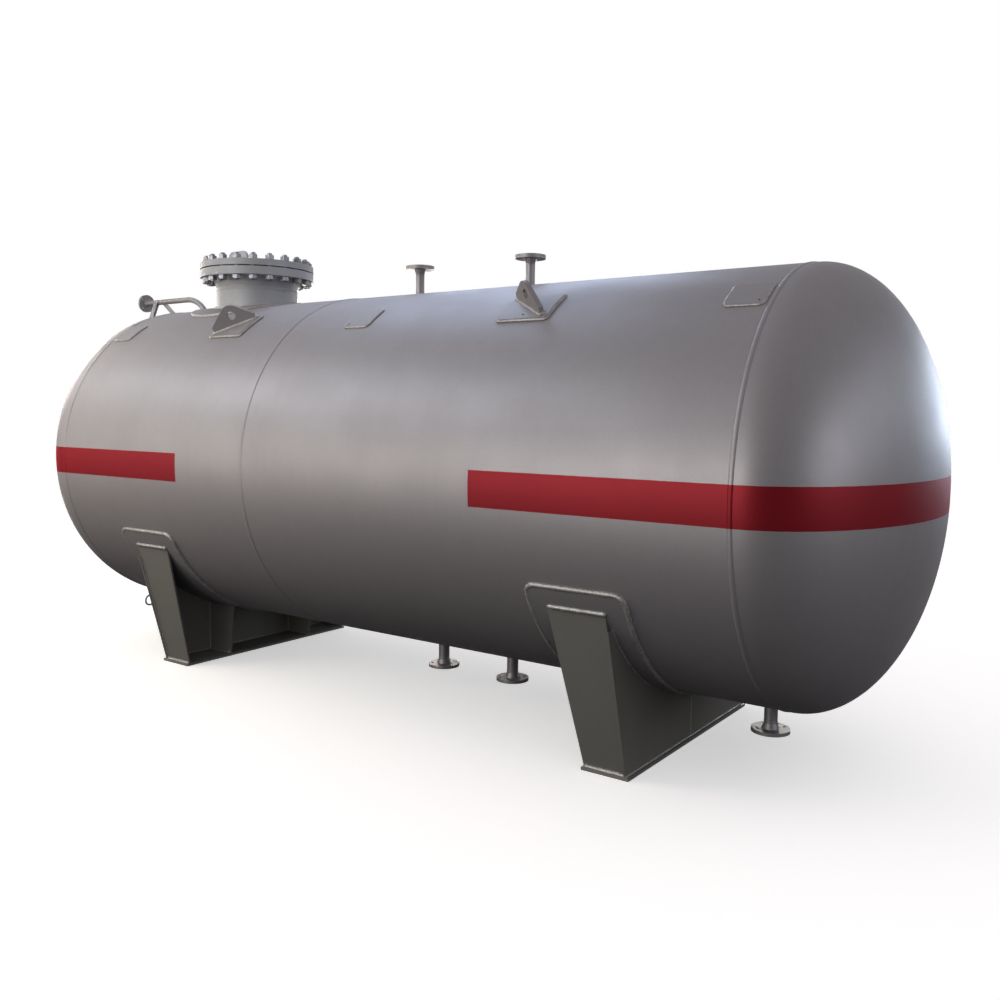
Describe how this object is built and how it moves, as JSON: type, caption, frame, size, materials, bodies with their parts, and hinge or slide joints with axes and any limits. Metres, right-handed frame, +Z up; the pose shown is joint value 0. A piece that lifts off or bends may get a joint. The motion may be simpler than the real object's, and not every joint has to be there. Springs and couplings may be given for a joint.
{
  "type": "horizontal pressure tank",
  "caption": "Horizontal cylindrical pressure tank with dished ends on welded saddles, with a bolted manway, flanged nozzles, lifting lugs and a level gauge pipe.",
  "frame": {"origin": "on the ground, at the centre of the rectangle of the four anchor bolts, midway along the shell", "axes": "+X along the tank from the manway end to the other end, +Y across it towards the rear, +Z up"},
  "size_m": [5.067, 1.8239, 2.439],
  "materials": {
    "vessel_paint": "silver-grey aluminium paint, satin",
    "manway_paint": "pale grey aluminium paint, satin",
    "gasket_rubber": "black sheet gasket"
  },
  "bodies": {
    "root": {"bottom_nozzle_left_flange": "vessel_paint", "bottom_nozzle_left_pipe": "vessel_paint", "bottom_nozzle_middle_flange": "vessel_paint", "bottom_nozzle_middle_pipe": "vessel_paint", "bottom_nozzle_right_flange": "vessel_paint", "bottom_nozzle_right_pipe": "vessel_paint", "bracket_pads_front": "vessel_paint", "bracket_pads_rear": "vessel_paint", "gauge_flange": "vessel_paint", "gauge_pipe": "vessel_paint", "gauge_pipe_brace": "vessel_paint", "gauge_pipe_strut": "vessel_paint", "head_left": "vessel_paint", "head_right": "vessel_paint", "lifting_lug_front_left": "vessel_paint", "lifting_lug_front_right": "vessel_paint", "lifting_lug_rear_left": "vessel_paint", "lifting_lug_rear_right": "vessel_paint", "lifting_pad_front_left": "vessel_paint", "lifting_pad_front_right": "vessel_paint", "lifting_pad_rear_left": "vessel_paint", "lifting_pad_rear_right": "vessel_paint", "manway_cover": "manway_paint", "manway_cover_lug": "manway_paint", "manway_flange": "manway_paint", "manway_gasket": "gasket_rubber", "manway_neck": "manway_paint", "manway_reinforcing_ring": "vessel_paint", "saddle_left_base_plate": "vessel_paint", "saddle_left_end_plates": "vessel_paint", "saddle_left_inner_ribs": "vessel_paint", "saddle_left_wear_pad": "vessel_paint", "saddle_left_web": "vessel_paint", "saddle_right_base_plate": "vessel_paint", "saddle_right_end_plates": "vessel_paint", "saddle_right_inner_ribs": "vessel_paint", "saddle_right_wear_pad": "vessel_paint", "saddle_right_web": "vessel_paint", "shell_course_left": "vessel_paint", "shell_course_right": "vessel_paint", "tie_ring": "vessel_paint", "top_nozzle_left_flange": "vessel_paint", "top_nozzle_left_pipe": "vessel_paint", "top_nozzle_right_flange": "vessel_paint", "top_nozzle_right_pipe": "vessel_paint"}
  },
  "joints": []
}
